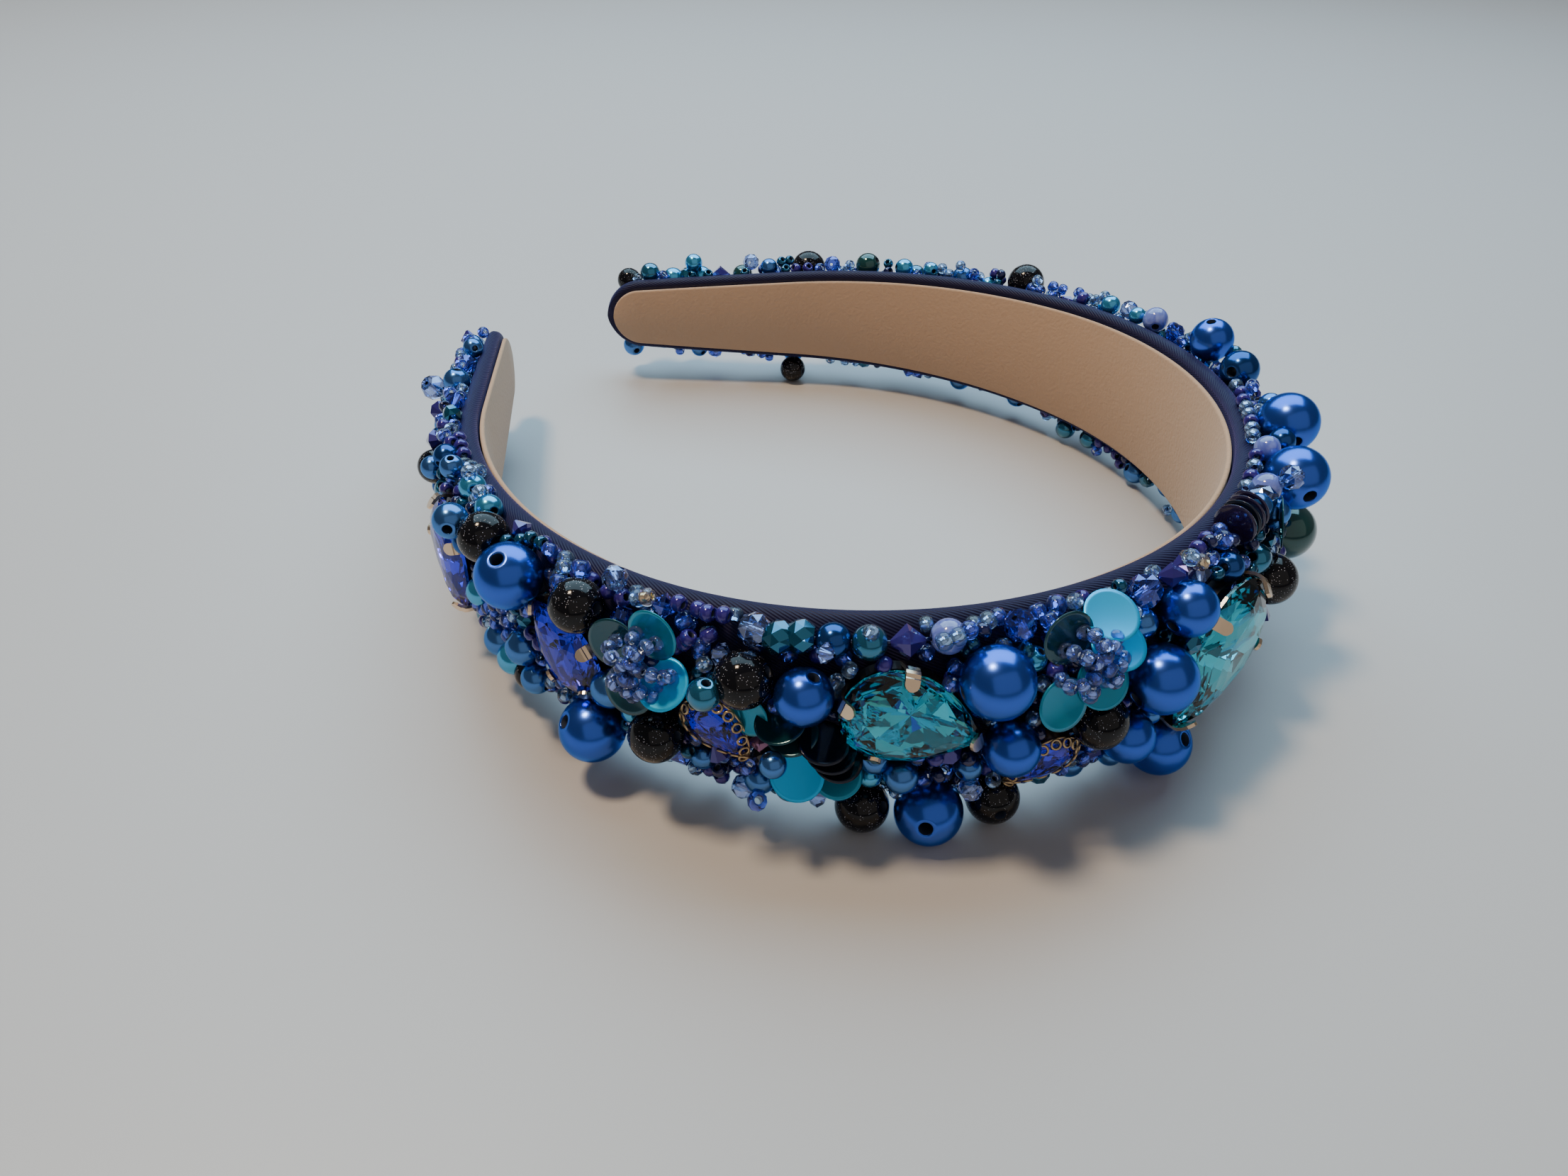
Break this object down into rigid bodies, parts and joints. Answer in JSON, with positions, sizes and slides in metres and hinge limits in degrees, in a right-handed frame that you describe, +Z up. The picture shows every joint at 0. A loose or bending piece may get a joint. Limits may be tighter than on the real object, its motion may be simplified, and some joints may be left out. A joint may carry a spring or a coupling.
{
  "type": "beaded headband",
  "caption": "C-shaped padded satin headband lined with suede, its outer face crowded with pearls, cut drop stones, sequins and small beads.",
  "frame": {"origin": "middle of the outline, on the surface that the headband lies on", "axes": "+Z up from the surface, with the headband lying on its side; +Y towards the open end between the two tips; +X towards the right arm"},
  "size_m": [0.1556, 0.1672, 0.0416],
  "materials": {
    "satin": "navy twill satin with a soft sheen",
    "suede": "matt tan suede cloth",
    "pearl": "pearl coat in royal blue with a metallic lustre",
    "black_glitter": "glossy black with fine glitter inside",
    "teal_glass": "cut glass with a foil back",
    "blue_glass": "cut glass with a foil back",
    "gilt": "bright to antique gilt metal",
    "sequin": "pearly film sequins",
    "seed_glass": "silver-lined and lustre glass beads"
  },
  "bodies": {
    "root": {"satin_band": "satin", "suede_lining": "suede", "teal_drop_1_setting": "gilt", "teal_drop_1_stone": "teal_glass", "teal_drop_2_setting": "gilt", "teal_drop_2_stone": "teal_glass", "teal_drop_3_setting": "gilt", "teal_drop_3_stone": "teal_glass", "blue_drop_1_setting": "gilt", "blue_drop_1_stone": "blue_glass", "blue_drop_2_setting": "gilt", "blue_drop_2_stone": "blue_glass", "blue_drop_3_setting": "gilt", "blue_drop_3_stone": "blue_glass", "lace_drop_1_setting": "gilt", "lace_drop_1_stone": "blue_glass", "lace_drop_2_setting": "gilt", "lace_drop_2_stone": "blue_glass", "lace_drop_3_setting": "gilt", "lace_drop_3_stone": "blue_glass", "sequin_flower_1": "sequin", "sequin_flower_2": "sequin", "pearl_01": "pearl", "pearl_02": "pearl", "pearl_03": "pearl", "pearl_04": "pearl", "pearl_05": "pearl", "pearl_06": "pearl", "pearl_07": "pearl", "pearl_08": "pearl", "pearl_09": "pearl", "pearl_10": "pearl", "pearl_11": "pearl", "pearl_12": "pearl", "pearl_13": "pearl", "pearl_14": "pearl", "pearl_15": "pearl", "pearl_16": "pearl", "pearl_17": "pearl", "black_bead_01": "black_glitter", "black_bead_02": "black_glitter", "black_bead_03": "black_glitter", "black_bead_04": "black_glitter", "black_bead_05": "black_glitter", "black_bead_06": "black_glitter", "black_bead_07": "black_glitter", "black_bead_08": "black_glitter", "black_bead_09": "black_glitter", "black_bead_10": "black_glitter", "black_bead_11": "black_glitter", "black_bead_12": "black_glitter", "black_bead_13": "black_glitter", "black_bead_14": "black_glitter", "bead_row_1": "seed_glass", "bead_row_2": "seed_glass", "bead_row_3": "seed_glass", "bead_row_4": "seed_glass", "bead_row_5": "seed_glass", "bead_row_6": "seed_glass", "bead_row_7": "seed_glass"}
  },
  "joints": []
}
